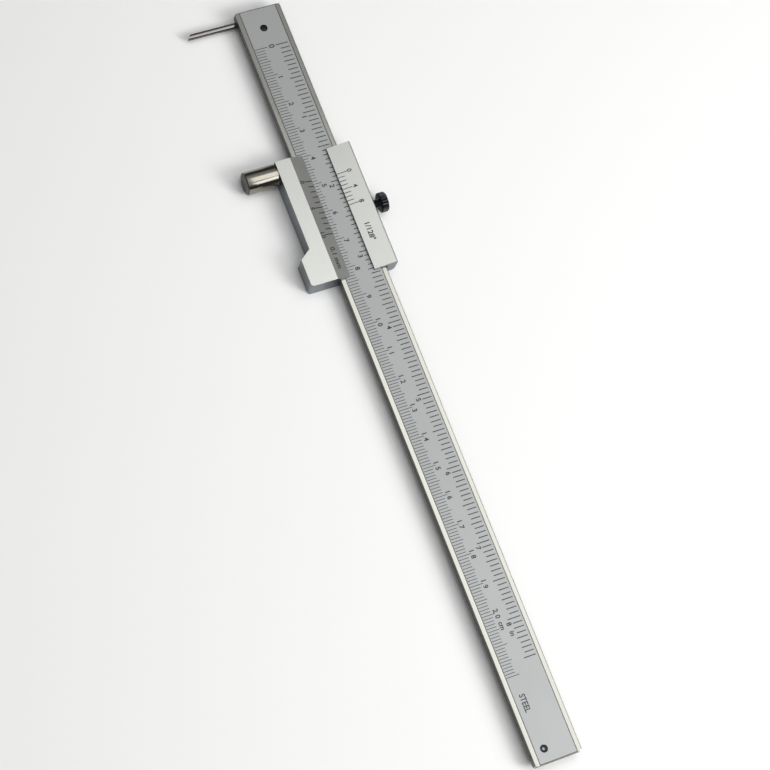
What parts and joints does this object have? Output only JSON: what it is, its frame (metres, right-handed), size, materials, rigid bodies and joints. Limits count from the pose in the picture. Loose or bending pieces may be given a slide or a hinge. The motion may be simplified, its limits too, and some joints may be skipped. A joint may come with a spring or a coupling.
{
  "type": "marking gauge",
  "caption": "Vernier marking gauge: flat scaled beam with a side needle, and a slider with a round guide pin, a foot and a thumb screw that locks it.",
  "frame": {"origin": "centre of the underside of the bounding box, the gauge lying on its back with the scale up", "axes": "+X along the beam away from the needle, +Y across the beam towards the thumb screw, +Z out of the scale face"},
  "size_m": [0.2624, 0.0422, 0.0076],
  "materials": {
    "scale_steel": "satin scale face with ground bright edges",
    "needle_steel": "hardened and polished",
    "plate_steel": "ground",
    "black_screw": "black oxide",
    "satin_chrome": "satin chrome plate",
    "polished_steel": "hardened and polished",
    "spring_steel": "blue-grey spring steel",
    "brass": "turned",
    "black_knob": "knurled, black oxide"
  },
  "bodies": {
    "beam_unit": {"beam": "scale_steel", "scriber_clamp_plate": "plate_steel", "scriber_clamp_screw": "black_screw", "scriber_clamp_dowel": "plate_steel", "end_stop_screw": "black_screw"},
    "needle": {"scriber": "needle_steel"},
    "slider": {"slider_body": "satin_chrome", "guide_pin": "polished_steel", "guide_pin_set_screw": "black_screw", "gib_screw_1": "black_screw", "gib_screw_2": "black_screw"},
    "clamp_shoe": {"gib_strip": "spring_steel", "lock_pad": "brass"},
    "thumb_screw": {"thumb_stud": "spring_steel", "thumb_knob": "black_knob"}
  },
  "joints": [
    {"name": "slider_slide", "type": "slide", "parent": "beam_unit", "child": "slider", "axis": [1, 0, 0], "range_m": [-0.043, 0.159]},
    {"name": "needle_slide", "type": "slide", "parent": "beam_unit", "child": "needle", "axis": [0, -1, 0], "range_m": [-0.015, 0.005]},
    {"name": "thumb_screw_turn", "type": "hinge", "parent": "slider", "child": "thumb_screw", "pos_m": [-0.05523, 0.0184, 0.0039], "axis": [0, -1, 0], "range_deg": [0, 72]},
    {"name": "clamp_shoe_slide", "type": "slide", "parent": "slider", "child": "clamp_shoe", "axis": [0, -1, 0], "range_m": [0, 0.0001]}
  ],
  "couplings": [
    {"joint": "thumb_screw_turn", "follows": "clamp_shoe_slide", "rad_per_m": 12566}
  ]
}
